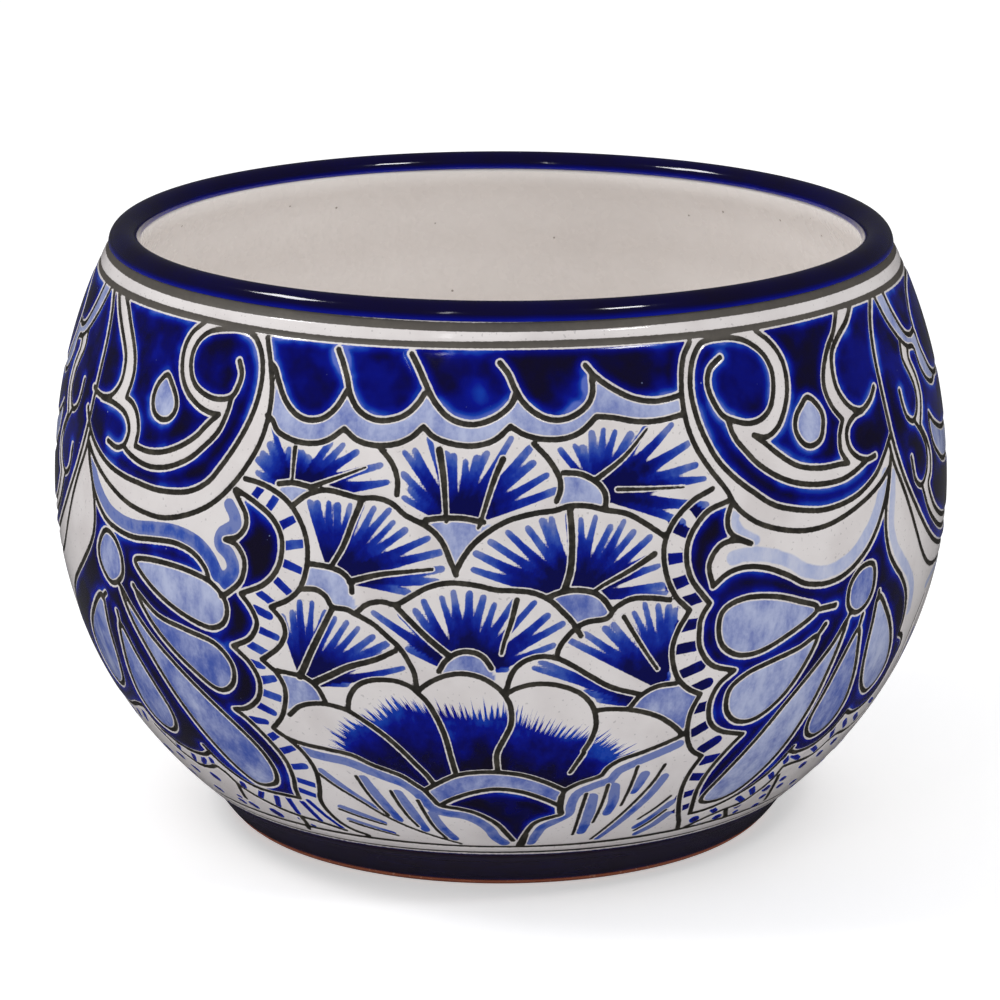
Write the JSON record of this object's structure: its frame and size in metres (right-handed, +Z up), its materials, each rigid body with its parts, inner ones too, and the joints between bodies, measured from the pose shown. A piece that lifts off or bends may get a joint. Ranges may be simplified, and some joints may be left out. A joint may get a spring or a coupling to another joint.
{
  "type": "talavera pottery vase",
  "caption": "Squat bellied earthenware vase with a wide mouth, a rolled rim and a low flared foot, glazed and painted in cobalt over white.",
  "frame": {"origin": "centre of the foot, on the surface that the vase stands on", "axes": "+Z up along the axis of the pot, -Y towards the front panel between two medallions, +X to the right of it"},
  "size_m": [0.27, 0.27, 0.181],
  "materials": {
    "terracotta": "matte unglazed fired clay",
    "painted_glaze": "glossy white glaze painted in cobalt and pale blue inside dark matte outlines",
    "lining_glaze": "satin off-white glaze with faint throwing marks and pinholes",
    "cobalt_glaze": "thick glossy cobalt glaze, nearly black where it pools"
  },
  "bodies": {
    "root": {"clay_body": "terracotta", "foot_ring": "terracotta", "rim_roll": "terracotta", "outer_glaze": "painted_glaze", "inner_glaze": "lining_glaze", "rim_glaze": "cobalt_glaze", "foot_glaze": "cobalt_glaze"}
  },
  "joints": []
}
